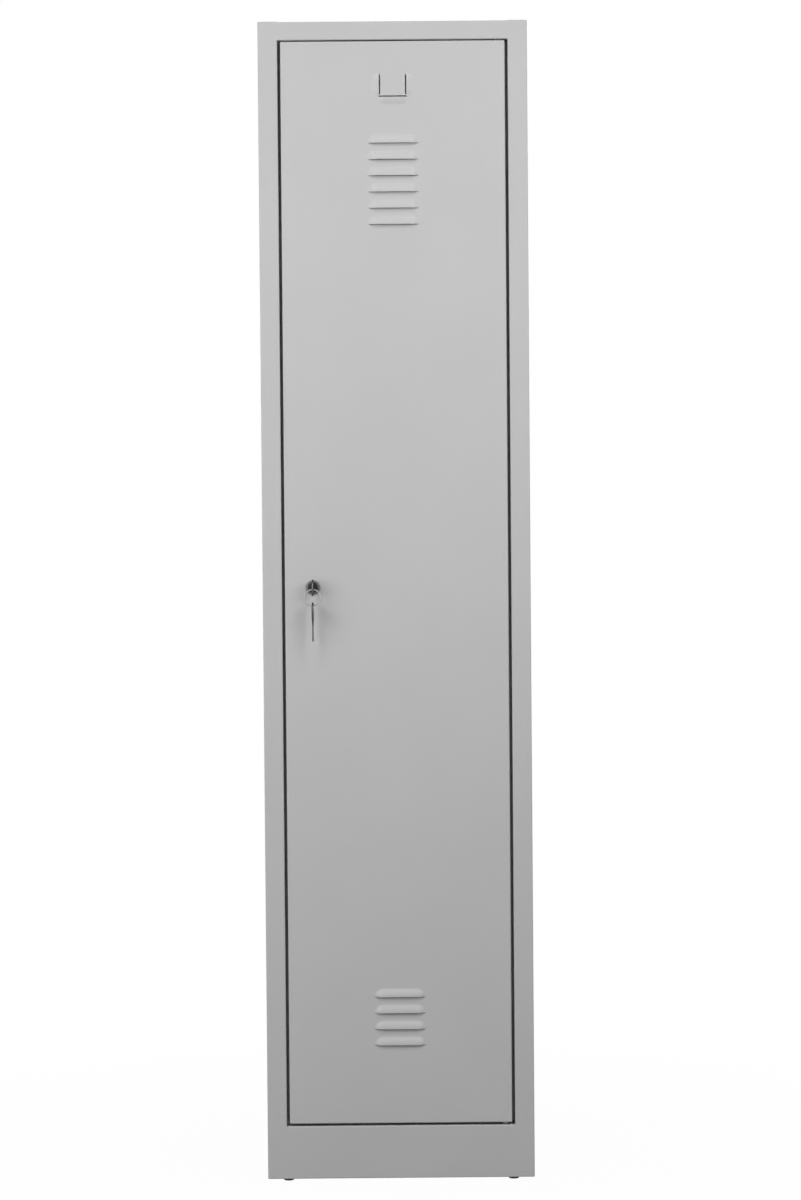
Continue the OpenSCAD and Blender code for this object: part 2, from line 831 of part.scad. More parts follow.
// Screw with a slotted head that holds the cam
module cam_screw() {
    head_z = cam_front + cam_t + washer_t;
    shank_z = cam_front + cam_t - screw_grip + ease;
    color("silver") on_lock() difference() {
        union() {
            translate([0, 0, shank_z]) cylinder(r = screw_r, h = head_z - shank_z + over);
            translate([0, 0, head_z]) cylinder(r = screw_head_r, h = screw_head_t);
        }
        translate([-screw_head_r - over, -0.5, head_z + screw_head_t / 2])
            cube([2 * (screw_head_r + over), 1, screw_head_t]);
    }
}

// Outline of a key, from the centre of the hole in its bow towards the tip along +X
module key_outline() {
    bow_near = bow_d / 2 - bow_rim;
    bow_far = bow_l - bow_d / 2 - bow_rim;
    notch = 1.6;
    difference() {
        union() {
            translate([bow_near, 0]) circle(d = bow_d);
            translate([bow_near, -bow_d / 2]) square([bow_far - bow_near, bow_d]);
            translate([bow_far, 0]) circle(d = bow_d);
            translate([bow_far, -neck_w / 2]) square([shoulder_reach - bow_far, neck_w]);
            translate([shoulder_reach - over, -blade_w / 2])
                square([tip_reach - blade_w / 2 - shoulder_reach + over, blade_w]);
            translate([tip_reach - blade_w / 2, 0]) intersection() {
                circle(d = blade_w);
                translate([0, -blade_w / 2]) square([blade_w, blade_w]);
            }
        }
        circle(d = bow_hole_d);
        for (x = [shoulder_reach + 4 : 4 : tip_reach - blade_w / 2 - 2])
            translate([x, -blade_w / 2]) polygon([[-notch, -over / 10], [notch, -over / 10], [0, notch]]);
    }
}

// Key standing in the plug, edge on to the viewer
module key() {
    color("silver") translate([x_lock, y_front - key_hole_out, lock_rise])
        rotate([90, 0, 90]) translate([0, 0, -key_t / 2]) linear_extrude(key_t) key_outline();
}

// Wire ring through the hole in the key's bow, hanging below it
module key_ring() {
    color("silver") translate([x_lock, y_front - key_hole_out, lock_rise - ring_drop])
        rotate([90, 0, 0]) rotate_extrude() translate([ring_d / 2, 0]) circle(r = wire_r);
}

// Second key hanging from the ring, nearly edge on to the viewer
module spare_key() {
    color("silver") translate([x_lock, y_front - key_hole_out, lock_rise - spare_drop])
        rotate([0, 0, spare_turn]) rotate([0, 90, 0]) translate([0, 0, -key_t / 2]) linear_extrude(key_t) key_outline();
}

// Wire hook whose ring slides on the rail, drawn in Y and Z round the rail's axis
module coat_hook(x) {
    stem_top = -hook_ring_drop - hook_ring_r;
    color("silver") translate([x, 0, z_rail]) {
        translate([0, 0, -hook_ring_drop]) rotate([0, 90, 0])
            rotate_extrude() translate([hook_ring_r, 0]) circle(d = hook_wire);
        translate([0, 0, -hook_drop]) cylinder(d = hook_wire, h = hook_drop + stem_top);
        translate([0, -hook_bend, -hook_drop]) rotate([0, 90, 0]) rotate([0, 0, -90])
            rotate_extrude(angle = 180) translate([hook_bend, 0]) circle(d = hook_wire);
        translate([0, -2 * hook_bend, -hook_drop]) {
            cylinder(d = hook_wire, h = hook_tip);
            translate([0, 0, hook_tip]) sphere(d = hook_ball_d);
        }
    }
}

module left_coat_hook() {
    coat_hook(-hook_spread);
}

module right_coat_hook() {
    coat_hook(hook_spread);
}

left_side_panel();
right_side_panel();
back_panel();
top_panel();
plinth();
floor_pan();
foot_plates();
foot_nuts();
hat_shelf();
shelf_clips();
hanging_rail();
rail_sockets();
upper_bush();
lower_bush();
hinge_washer();
door_buffers();
door_skin();
door_stiffener();
upper_hinge_bracket();
lower_hinge_bracket();
upper_hinge_pin();
lower_hinge_pin();
lock_body();
lock_nut();
lock_plug();
lock_cam();
cam_washer();
cam_screw();
key();
key_ring();
spare_key();
left_coat_hook();
right_coat_hook();
foot_pad(-1, -1);  // left_front_pad
foot_pad(1, -1);  // right_front_pad
foot_pad(-1, 1);  // left_back_pad
foot_pad(1, 1);  // right_back_pad
foot_stud(-1, -1);  // left_front_stud
foot_stud(1, -1);  // right_front_stud
foot_stud(-1, 1);  // left_back_stud
foot_stud(1, 1);  // right_back_stud
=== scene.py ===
# %% [markdown]
# A steel clothing locker
#
# The locker is a folded sheet-steel cabinet with one tall door. Its steelwork is already exact in the
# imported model, so this lesson keeps every CAD piece whose shape is right and gives it a finish. The
# pieces that the eye rests on, such as the pressed door, the lock and the keys, are made again here as
# smooth surfaces, in the same frame.

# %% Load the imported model
import bpy
import bmesh
import numpy as np
from mathutils import Matrix, Vector
from mathutils.geometry import delaunay_2d_cdt


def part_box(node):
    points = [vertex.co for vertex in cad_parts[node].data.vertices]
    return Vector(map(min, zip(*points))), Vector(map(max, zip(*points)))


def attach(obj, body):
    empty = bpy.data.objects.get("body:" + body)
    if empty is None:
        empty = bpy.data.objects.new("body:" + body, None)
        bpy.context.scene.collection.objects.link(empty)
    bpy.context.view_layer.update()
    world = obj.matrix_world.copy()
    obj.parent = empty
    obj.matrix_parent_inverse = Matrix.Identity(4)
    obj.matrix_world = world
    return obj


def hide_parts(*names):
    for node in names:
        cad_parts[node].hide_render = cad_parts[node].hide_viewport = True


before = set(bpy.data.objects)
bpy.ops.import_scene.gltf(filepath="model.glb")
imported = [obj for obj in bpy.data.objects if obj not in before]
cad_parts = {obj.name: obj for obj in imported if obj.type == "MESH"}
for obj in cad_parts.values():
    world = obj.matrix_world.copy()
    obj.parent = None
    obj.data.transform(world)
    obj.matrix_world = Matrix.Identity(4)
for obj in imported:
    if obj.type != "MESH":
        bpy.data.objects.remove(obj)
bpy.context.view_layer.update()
scene = bpy.context.scene

# %% [markdown]
# The camera comes first, because everything else is judged through it. The photograph was taken from
# about five metres away with a long lens, at the height of the locker's middle, and looks down by not
# quite two degrees. A camera is built here from three directions: where it looks, what is right of it,
# and what is above it.

# %% Camera
CAMERA_PLACE = (-0.0086, -5.25, 1.0531)
yaw, pitch, roll = np.radians([-0.164, -1.669, -0.470])
look = np.array([-np.sin(yaw) * np.cos(pitch), np.cos(yaw) * np.cos(pitch), np.sin(pitch)])
level = np.array([np.cos(yaw), np.sin(yaw), 0.0])
above = np.cross(level, look)
right = np.cos(roll) * level + np.sin(roll) * above
up = -np.sin(roll) * level + np.cos(roll) * above
camera_data = bpy.data.cameras.new("camera")
camera_data.sensor_fit = "VERTICAL"
camera_data.sensor_height = 36
camera_data.lens = 96.95
camera = bpy.data.objects.new("camera", camera_data)
scene.collection.objects.link(camera)
rows = zip(np.stack([right, up, -look], 1).tolist(), CAMERA_PLACE)
camera.matrix_world = Matrix([[*row, place] for row, place in rows] + [[0, 0, 0, 1]])
scene.camera = camera
print("camera at", tuple(round(v, 3) for v in camera.location), "lens", camera_data.lens)

# %% [markdown]
# A surface is a grid of points, and each square of the grid is one face. The helper below numbers the
# corners of all the squares at once. A patch is three things: its points in millimetres, its faces, and
# whether it shades smoothly. Flat sheet stays flat-shaded, so that a small bend beside it doesn't tint
# the whole panel.

# %% Patches of surface
MM = 0.001


def grid_patch(points, wrap_rows=False, wrap_columns=False, smooth=True):
    """Faces of a grid of points: each point, the next in its row, and the two below them in the next
    row."""
    rows, columns = points.shape[:2]
    r = np.arange(rows if wrap_rows else rows - 1)[:, None]
    c = np.arange(columns if wrap_columns else columns - 1)[None, :]
    r1, c1 = (r + 1) % rows, (c + 1) % columns
    faces = np.stack([r * columns + c, r * columns + c1, r1 * columns + c1, r1 * columns + c], -1)
    return points.reshape(-1, 3), faces.reshape(-1, 4), smooth


def away_from(patch, middle):
    """Turns a patch round if its faces look towards a point inside the piece. Each face's normal is the
    cross product of its diagonals, and the sum of its product with the way out tells which side faces
    out."""
    points, faces, smooth = patch
    a, b, c, d = (points[faces[:, i]] for i in (0, 1, 2, -1))
    normal = np.cross(c - a, d - b) if faces.shape[1] == 4 else np.cross(b - a, c - a)
    out = ((a + c) / 2 - np.asarray(middle)) * normal
    return (points, faces, smooth) if out.sum() > 0 else (points, faces[:, ::-1], smooth)


def make_piece(name, patches, closed=False):
    """One mesh of several patches. Points that fall together are merged, and a closed body is turned
    outwards."""
    starts = np.cumsum([0] + [len(p[0]) for p in patches])
    points = np.concatenate([p[0] for p in patches]) * MM
    corners = np.concatenate([(p[1] + s).ravel() for p, s in zip(patches, starts)])
    sizes = np.concatenate([np.full(len(p[1]), p[1].shape[1]) for p in patches])
    mesh = bpy.data.meshes.new(name)
    mesh.vertices.add(len(points))
    mesh.vertices.foreach_set("co", points.astype(np.float32).ravel())
    mesh.loops.add(len(corners))
    mesh.loops.foreach_set("vertex_index", corners.astype(np.int32))
    mesh.polygons.add(len(sizes))
    mesh.polygons.foreach_set("loop_start", (np.cumsum(sizes) - sizes).astype(np.int32))
    mesh.polygons.foreach_set("use_smooth", np.concatenate([np.full(len(p[1]), p[2]) for p in patches]))
    mesh.update(calc_edges=True)
    cleaner = bmesh.new()
    cleaner.from_mesh(mesh)
    bmesh.ops.remove_doubles(cleaner, verts=cleaner.verts, dist=0.004 * MM)
    if closed:
        bmesh.ops.recalc_face_normals(cleaner, faces=cleaner.faces)
    loose = sum(edge.is_boundary for edge in cleaner.edges)
    cleaner.to_mesh(mesh)
    cleaner.free()
    mesh.validate()
    piece = bpy.data.objects.new(name, mesh)
    scene.collection.objects.link(piece)
    print(f"{name}: {len(mesh.vertices)} points, {len(mesh.polygons)} faces, {loose} open edges")
    return piece


# %% [markdown]
# The door is one sheet of 0.7 mm steel. Its four edges are folded back to make a shallow tray, and a
# narrow lip is folded in behind. The rim is a profile carried round the door: a quarter bend, a flat
# wall, and a second quarter bend. At each corner the profile turns about the corner's own point, which
# rounds the corner off.

# %% The door's folded rim
def corners(node):
    """A node's lowest and highest corners in millimetres."""
    return np.round(np.array(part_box(node)) / MM, 2)


BEND, DOOR_DEPTH, LIP, GAUGE = 1.8, 18.0, 10.2, 0.7
CORNER_STEPS = 7
door_low, door_high = corners("door_skin")
FACE_Y = round(door_high[1] - DOOR_DEPTH, 2)
DOOR_MIDDLE = np.array([0, FACE_Y + DOOR_DEPTH / 2, (door_low[2] + door_high[2]) / 2])
HALF_W, HALF_H = door_high[0] - BEND, (door_high[2] - door_low[2]) / 2 - BEND
quarter = np.radians(np.linspace(0, 90, 9))
corner_signs = np.array([[1, 1], [-1, 1], [-1, -1], [1, -1]])
flat_corners = corner_signs * [HALF_W, HALF_H]


def carry_round(reach, depth):
    """A profile carried round the door. Each station has a base corner and a direction; a point of the
    profile lies at the corner plus its reach along the direction, and at its own depth."""
    turns = np.radians(np.linspace(0, 90, CORNER_STEPS)[None, :] + np.arange(4)[:, None] * 90).ravel()
    base = np.repeat(flat_corners, CORNER_STEPS, axis=0)
    x = base[None, :, 0] + reach[:, None] * np.cos(turns)
    z = base[None, :, 1] + reach[:, None] * np.sin(turns) + DOOR_MIDDLE[2]
    return np.stack([x, np.broadcast_to(depth[:, None], x.shape), z], -1)


front_bend = carry_round(BEND * np.sin(quarter), FACE_Y + BEND - BEND * np.cos(quarter))
back_bend = carry_round(BEND * np.cos(quarter), FACE_Y + DOOR_DEPTH - BEND + BEND * np.sin(quarter))
wall = np.stack([front_bend[-1], back_bend[0]])
lip = np.stack([flat_corners, corner_signs * [HALF_W - LIP, HALF_H - LIP]])
lip = np.stack([lip[..., 0], np.full((2, 4), FACE_Y + DOOR_DEPTH), lip[..., 1] + DOOR_MIDDLE[2]], -1)
rim = [away_from(grid_patch(points, wrap_columns=True, smooth=bent), DOOR_MIDDLE)
       for points, bent in ((front_bend, True), (wall, False), (back_bend, True), (lip, False))]
print("door", 2 * (HALF_W + BEND), "x", 2 * (HALF_H + BEND), "mm")

# %% [markdown]
# Each louvre is lanced along a straight line and pushed out into a hood, so its lower edge is open and
# its ends are rounded. The three lips that hold a name card are the same form, smaller and turned. A hood
# could be carved from a block, but worked out as a surface it stays thin and smooth: its height depends
# only on the distance from its spine.

# %% A pressed hood
ARC_STEPS = 15
ROOT_RUN, SLOT_INSET, SLOT_TAPER = 1.3, 1.5, 0.6


def arc_end(height, root):
    """Distance from the spine at which a hood leaves its arc and begins its root."""
    return height - ROOT_RUN * root


def hood_height(distance, height, out, root):
    """Height of a hood at a distance from its spine: the arc of a circle that stands out at the spine and
    comes down to the sheet, and near its root a cubic curve that leaves the arc and meets the sheet
    level."""
    bow = (height ** 2 + out ** 2) / (2 * out)
    start, end = arc_end(height, root), height + root
    arc = np.sqrt(bow ** 2 - np.minimum(distance, start) ** 2) - (bow - out)
    slope = -start / np.sqrt(bow ** 2 - start ** 2)
    t = np.clip((distance - start) / (end - start), 0, 1)
    foot = (np.sqrt(bow ** 2 - start ** 2) - (bow - out)) * (2 * t ** 3 - 3 * t ** 2 + 1)
    foot = foot + (end - start) * slope * (t ** 3 - 2 * t ** 2 + t)
    return np.where(distance < start, arc, foot)


def hood(x, z, width, height, out, turn=0, root=2.2, slot=0.5):
    """A hood's surface and the outline of its hole in the sheet. The grid runs round a half stadium, a
    quarter turn at each end of the spine, and from the spine out to the root. The lancing tool leaves a
    slot below the spine."""
    half = width / 2 - height
    angle = np.radians(np.concatenate([np.linspace(180, 90, ARC_STEPS), np.linspace(90, 0, ARC_STEPS)]))
    spine = np.repeat([-half, half], ARC_STEPS)
    bend_start = arc_end(height, root)
    distance = np.concatenate([np.linspace(0, bend_start, 9), np.linspace(bend_start, height + root, 10)[1:]])
    u = spine[None, :] + distance[:, None] * np.cos(angle)
    v = distance[:, None] * np.sin(angle)
    a, tip = np.radians(turn), width / 2 - SLOT_INSET
    points = np.stack([x + u * np.cos(a) - v * np.sin(a),
                       np.broadcast_to(FACE_Y - hood_height(distance, height, out, root)[:, None], u.shape),
                       z + u * np.sin(a) + v * np.cos(a)], -1)
    cut = np.array([[tip, 0], [tip - SLOT_TAPER, -slot], [SLOT_TAPER - tip, -slot], [-tip, 0]])
    cut = np.stack([x + cut[:, 0] * np.cos(a) - cut[:, 1] * np.sin(a),
                    z + cut[:, 0] * np.sin(a) + cut[:, 1] * np.cos(a)], -1)
    behind = (x, FACE_Y + 30, z)
    return away_from(grid_patch(points), behind), np.concatenate([points[-1][:, [0, 2]], cut])


# %% [markdown]
# The louvres stand in two blocks, whose places are measured from the top and the bottom of the body. The
# card holder has one lip below the card and one at each side of it, with their open edges towards the
# card. A lip is given by its place, its length, its turn and the slot that the tool leaves.

# %% Louvres and card holder
LOUVRE_W, LOUVRE_H, LOUVRE_OUT, LOUVRE_PITCH = 76, 12, 4.2, 25
UPPER_COUNT, UPPER_DROP, LOWER_COUNT, LOWER_RISE = 6, 187, 4, 208
CARD_W, CARD_H, CARD_FOOT_W, CARD_STEP, CARD_DROP = 42, 34, 48, 2, 116
CARD_LIP, CARD_OUT, CARD_ROOT = 11, 2.4, 1.1
body_top, body_bottom = corners("top_panel")[1][2], corners("plinth")[0][2]
louvre_rows = [body_top - UPPER_DROP - LOUVRE_PITCH * i for i in range(UPPER_COUNT)]
louvre_rows += [body_bottom + LOWER_RISE + LOUVRE_PITCH * i for i in range(LOWER_COUNT)]
hoods = [hood(0, z, LOUVRE_W, LOUVRE_H, LOUVRE_OUT) for z in louvre_rows]
card_foot = body_top - CARD_DROP
card_z = card_foot + CARD_STEP + CARD_H / 2
card_lips = [(0, card_foot, CARD_FOOT_W, 180, 2.0), (CARD_W / 2, card_z, CARD_H, -90, 1.8),
             (-CARD_W / 2, card_z, CARD_H, 90, 1.6)]
hoods += [hood(x, z, width, CARD_LIP, CARD_OUT, turn, CARD_ROOT, slot)
          for x, z, width, turn, slot in card_lips]
print(len(louvre_rows), "louvres,", len(card_lips), "card lips, highest point", LOUVRE_OUT, "mm out")

# %% [markdown]
# What is left of the door's face is a flat sheet with holes where the hoods rise and where the lock goes
# through. The outlines of all the holes are handed to a Delaunay triangulation, which joins them with
# flat triangles, and the triangles that fall inside a hole are dropped. Solidify then gives the sheet its
# thickness, inwards.

# %% The door's face
HOLE_R, HOLE_FLAT = 9.3, 8.3
LOCK_X, _, LOCK_Z = corners("lock_body").mean(0)
round_hole = np.radians(np.linspace(0, 360, 49)[:-1])
lock_hole = np.stack([LOCK_X + np.clip(HOLE_R * np.cos(round_hole), -HOLE_FLAT, HOLE_FLAT),
                      LOCK_Z + HOLE_R * np.sin(round_hole)], -1)
border = flat_corners + [0, DOOR_MIDDLE[2]]
outlines = [border] + [outline for _, outline in hoods] + [lock_hole]


def inside(points, outline):
    """Which points lie within a closed outline: a level ray from such a point crosses the outline's sides
    an odd number of times."""
    a, b = outline, np.roll(outline, -1, axis=0)
    x, z = points[:, 0, None], points[:, 1, None]
    rise = np.where(a[:, 1] == b[:, 1], 1e-9, b[:, 1] - a[:, 1])
    crossed = ((a[:, 1] > z) != (b[:, 1] > z)) & (x < a[:, 0] + (z - a[:, 1]) * (b[:, 0] - a[:, 0]) / rise)
    return crossed.sum(1) % 2 == 1


def flat_sheet(outlines, depth):
    """A flat sheet between the first outline and the others, which are holes in it."""
    flat = np.concatenate(outlines)
    starts = np.cumsum([0] + [len(o) for o in outlines])
    sides = np.concatenate([np.stack([s + np.arange(len(o)), s + (np.arange(len(o)) + 1) % len(o)], 1)
                            for s, o in zip(starts, outlines)])
    made = delaunay_2d_cdt([Vector(p) for p in flat.tolist()], sides.tolist(), [], 0, 1e-5)
    points, faces = np.array([tuple(p) for p in made[0]]), np.array(made[2])
    centres = points[faces].mean(1)
    keep = inside(centres, outlines[0]) & ~np.any([inside(centres, o) for o in outlines[1:]], axis=0)
    return np.stack([points[:, 0], np.full(len(points), depth), points[:, 1]], -1), faces[keep], False


face = away_from(flat_sheet(outlines, FACE_Y), DOOR_MIDDLE)
door_sheet = make_piece("door_sheet", rim + [face] + [patch for patch, _ in hoods])
gauge = door_sheet.modifiers.new("sheet thickness", "SOLIDIFY")
gauge.thickness, gauge.offset, gauge.use_even_offset = GAUGE * MM, -1, True

# %% [markdown]
# Finishes. The body and the door are powder coated: paint powder is baked on, and it sets with a faint
# orange-peel skin and a satin shine. The grain could be painted on as an image, but noise in the object's
# own coordinates is the same size on every piece. Two bumps are laid over each other, the fine skin and
# the slow waves of thin sheet. The first helpers below add one or two nodes each to a material's tree,
# and the powder coat puts them together.

# %% Powder coat
def new_finish(name):
    """A material, its node tree, its Principled shader and the output that gives the object's
    coordinates."""
    material = bpy.data.materials.new(name)
    material.use_nodes = True
    tree = material.node_tree
    where = tree.nodes.new("ShaderNodeTexCoord").outputs["Object"]
    return material, tree, tree.nodes["Principled BSDF"], where


def noise(tree, where, scale, detail=2.0, stretch=None):
    """Noise between 0 and 1 whose cells are about one over scale metres wide, and longer along an axis
    whose stretch is below 1."""
    if stretch:
        mapping = tree.nodes.new("ShaderNodeMapping")
        mapping.inputs["Scale"].default_value = stretch
        tree.links.new(where, mapping.inputs["Vector"])
        where = mapping.outputs["Vector"]
    cloud = tree.nodes.new("ShaderNodeTexNoise")
    cloud.inputs["Scale"].default_value = scale
    cloud.inputs["Detail"].default_value = detail
    tree.links.new(where, cloud.inputs["Vector"])
    return cloud.outputs["Fac"]


def wander(tree, cloud, low, high, socket):
    """Lets a socket wander from a low grey or colour, where the cloud is below 0.3, to a high one above
    0.7."""
    ramp = tree.nodes.new("ShaderNodeValToRGB")
    for element, place, colour in zip(ramp.color_ramp.elements, (0.3, 0.7), (low, high)):
        element.position = place
        element.color = (*(colour if isinstance(colour, tuple) else (colour,) * 3), 1)
    tree.links.new(cloud, ramp.inputs["Fac"])
    tree.links.new(ramp.outputs["Color"], socket)


def bump(tree, height, depth, under=None):
    """Lights a surface as if it rose by a depth in metres where the height is 1."""
    node = tree.nodes.new("ShaderNodeBump")
    node.inputs["Strength"].default_value = 1.0
    node.inputs["Distance"].default_value = depth
    tree.links.new(height, node.inputs["Height"])
    if under:
        tree.links.new(under, node.inputs["Normal"])
    return node.outputs["Normal"]


def calculate(tree, operation, *values):
    """The result of one Math node. Each value is a number or the output of another node."""
    node = tree.nodes.new("ShaderNodeMath")
    node.operation = operation
    for socket, value in zip(node.inputs, values):
        if isinstance(value, float):
            socket.default_value = value
        else:
            tree.links.new(value, socket)
    return node.outputs[0]


WELD_X, WELD_PITCH, WELD_R, BACK_Y = 0.1985, 0.12, 0.005, 0.2495


def spot_welds(tree, where):
    """1 in the middle of each spot weld and 0 away from them. The welds stand in a row up both edges of
    the back, so the distance is taken to the nearest row and to the nearest step in height."""
    place = tree.nodes.new("ShaderNodeSeparateXYZ")
    tree.links.new(where, place.inputs[0])
    x, y, z = (place.outputs[i] for i in range(3))
    across = calculate(tree, "SUBTRACT", calculate(tree, "ABSOLUTE", x), WELD_X)
    along = calculate(tree, "PINGPONG", z, WELD_PITCH / 2)
    squares = [calculate(tree, "POWER", distance, 2.0) for distance in (across, along)]
    distance = calculate(tree, "SQRT", calculate(tree, "ADD", *squares))
    dent = calculate(tree, "SUBTRACT", 1.0, calculate(tree, "DIVIDE", distance, WELD_R))
    on_back = calculate(tree, "GREATER_THAN", y, BACK_Y)
    return calculate(tree, "MULTIPLY", calculate(tree, "MAXIMUM", dent, 0.0), on_back)


def powder_coat(name, grey, welded=False):
    """Light grey satin powder coat about a grey level, with its skin, its slow waves and a slight mottle.
    On welded pieces the coat lies in the dents of the spot welds as well."""
    material, tree, shader, where = new_finish(name)
    wander(tree, noise(tree, where, 7, 3), grey * 0.985, grey * 1.015, shader.inputs["Base Color"])
    skin = noise(tree, where, 620, 2)
    wander(tree, skin, 0.40, 0.47, shader.inputs["Roughness"])
    under = bump(tree, noise(tree, where, 2.6, 1), 0.0006)
    if welded:
        under = bump(tree, spot_welds(tree, where), -0.0015, under)
    tree.links.new(bump(tree, skin, 0.00003, under), shader.inputs["Normal"])
    return material


# The frame's coat is a shade darker than the door's, painted shade that tones down the rail and plinth.
frame_paint = powder_coat("frame_paint", 0.53, welded=True)
door_paint = powder_coat("door_paint", 0.54)
print("finishes", [material.name for material in (frame_paint, door_paint)])

# %% [markdown]
# A piece made here takes the place of a CAD node, so it rides on that node's body and the node is hidden.
# A CAD node whose shape is kept only changes its material.

# %% Dress the door
def dress(piece, material, body, slot, *nodes):
    """Gives a finished piece its material and the body that it moves with, and hides the CAD nodes it
    stands for. The slot is not used."""
    piece.data.materials.append(material)
    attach(piece, body)
    if nodes:
        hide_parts(*nodes)
    print(piece.name, "rides on", body, "and replaces", nodes)


def coat(material, *names):
    """Puts a finish on CAD nodes whose shape is kept."""
    for name in names:
        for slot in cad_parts[name].material_slots:
            slot.material = material


dress(door_sheet, door_paint, "door", "door_paint", "door_skin")
coat(door_paint, "door_stiffener")
coat(frame_paint, "left_side_panel", "right_side_panel", "back_panel", "top_panel", "plinth", "floor_pan",
     "hat_shelf", "shelf_clips")

# %% [markdown]
# The lock's case is turned on a lathe, so here it is a profile spun round its axis: the bore for the
# plug, a rounded head, and a threaded barrel. The barrel has two flats that stop it turning in the door,
# and the spin makes them by cutting the radius short where the flat lies nearer the axis than the thread.

# %% Lock case
BORE_R, HEAD_R, HEAD_OUT, HEAD_EDGE = 6.55, 11.0, 3.5, 1.5
THREAD_R, THREAD_ROOT, THREAD_START, THREAD_LENGTH, HALF_TURNS = 9.0, 8.62, 0.4, 23.4, 48
FLAT, CASE_DEPTH = 8.0, 24.0


def turned(profile, angles):
    """A profile spun round the lock's axis. Each of its points is a radius and a depth behind the door's
    face. Behind the face, past a flat's distance from the axis, the radius is that distance over the
    cosine of the angle. The cosine is kept above 0.1, where the flat is out of the thread's reach."""
    radii, depths = profile[:, :1], profile[:, 1:]
    flat = FLAT / np.maximum(abs(np.cos(angles)), 0.1)
    reach = np.where(depths > 0, np.minimum(radii, flat), radii)
    return np.stack([LOCK_X + reach * np.cos(angles), np.broadcast_to(FACE_Y + depths, reach.shape),
                     LOCK_Z + reach * np.sin(angles)], -1)


edge = np.radians(np.linspace(0, 90, 7))
half_turns = np.arange(HALF_TURNS)
bore = [[BORE_R, CASE_DEPTH], [BORE_R, -3], [6.62, -3.3], [6.85, -3.45], [7.1, -HEAD_OUT], [8.6, -HEAD_OUT]]
head = np.stack([HEAD_R - HEAD_EDGE + HEAD_EDGE * np.sin(edge),
                 HEAD_EDGE - HEAD_OUT - HEAD_EDGE * np.cos(edge)], -1)
thread = np.stack([np.where(half_turns % 2, THREAD_ROOT, THREAD_R),
                   THREAD_START + THREAD_LENGTH * (half_turns + 0.5) / HALF_TURNS], -1)
case_profile = np.concatenate([bore, head, [[HEAD_R, -1], [HEAD_R, -0.1], [10.9, 0], [THREAD_R, 0]], thread,
                               [[8.7, CASE_DEPTH - 0.1], [8.5, CASE_DEPTH]]])
case_surface = grid_patch(turned(case_profile, np.radians(np.arange(0, 360, 3))), True, True)
lock_case = make_piece("lock_case", [case_surface], closed=True)

# %% [markdown]
# Keys are blanked from nickel-plated strip and their edges are tumbled round. The cuts and the milled
# groove are what makes a plate read as a key, and the same outline serves for the key in the lock and the
# spare one. It runs along x from the hole in the bow to the tip.

# %% Outline of a key
BOW_R, BOW_BACK, BOW_FRONT, BOW_HOLE_R = 12.5, 4.5, 10.5, 4
NECK, BLADE, TIP_MIDDLE = 4.5, 3.5, 48.3
GROOVE_R, GROOVE_RISE, GROOVE_DEPTH = 0.7, 0.9, 0.45


def arc(x, y, radius, start, end, steps):
    """Points on a circle from one angle to another, in degrees."""
    angle = np.radians(np.linspace(start, end, steps))
    return np.stack([x + radius * np.cos(angle), y + radius * np.sin(angle)], -1)


cut_depths = np.repeat([0.9, 1.5, 0.6, 1.3, 1.0], 4)
cut_places = (np.array([29, 33, 37, 41, 45])[:, None] + [-1.7, -0.55, 0.55, 1.7]).ravel()
cuts = np.stack([cut_places, cut_depths * np.tile([0, 1, 1, 0], 5) - BLADE], -1)
shoulder = np.array([[24.4, -NECK], [25, -3.9], [25.2, -BLADE]])
key_rim = np.concatenate([
    arc(BOW_FRONT, 0, BOW_R, 22, 90, 14), arc(BOW_BACK, 0, BOW_R, 90, 270, 34),
    arc(BOW_FRONT, 0, BOW_R, -90, -22, 14), shoulder, [[26.3, -BLADE]], cuts,
    arc(TIP_MIDDLE, 0, BLADE, -90, 90, 17), shoulder[::-1] * [1, -1]])
key_hole = arc(0, 0, BOW_HOLE_R, 360, 0, 41)[:-1]
groove = np.concatenate([arc(46.8, GROOVE_RISE, GROOVE_R, 90, -90, 9),
                         arc(25.3, GROOVE_RISE, GROOVE_R, 270, 90, 9)])
print("key", round(key_rim[:, 0].max() - key_rim[:, 0].min(), 1), "mm long,", len(cut_places) // 4, "cuts")

# %% [markdown]
# A key is a plate with a rounded rim: a half-round profile is carried round each outline, and flat sheets
# close both sides. The groove is sunk into both sides. One key stands in the lock; the other hangs from
# the ring and is turned a little about its length.

# %% Keys
KEY_HALF, KEY_EDGE = 1.1, 0.45
SPARE_TURN = np.radians(5.5)
_, KEY_Y, RING_Z = corners("key_ring").mean(0)


def moved_in(outline, inset):
    """An outline moved into the material: each point goes left of the way from its last neighbour to its
    next."""
    way = np.roll(outline, -1, axis=0) - np.roll(outline, 1, axis=0)
    way = way / np.linalg.norm(way, axis=1, keepdims=True)
    return outline + inset * np.stack([-way[:, 1], way[:, 0]], -1)


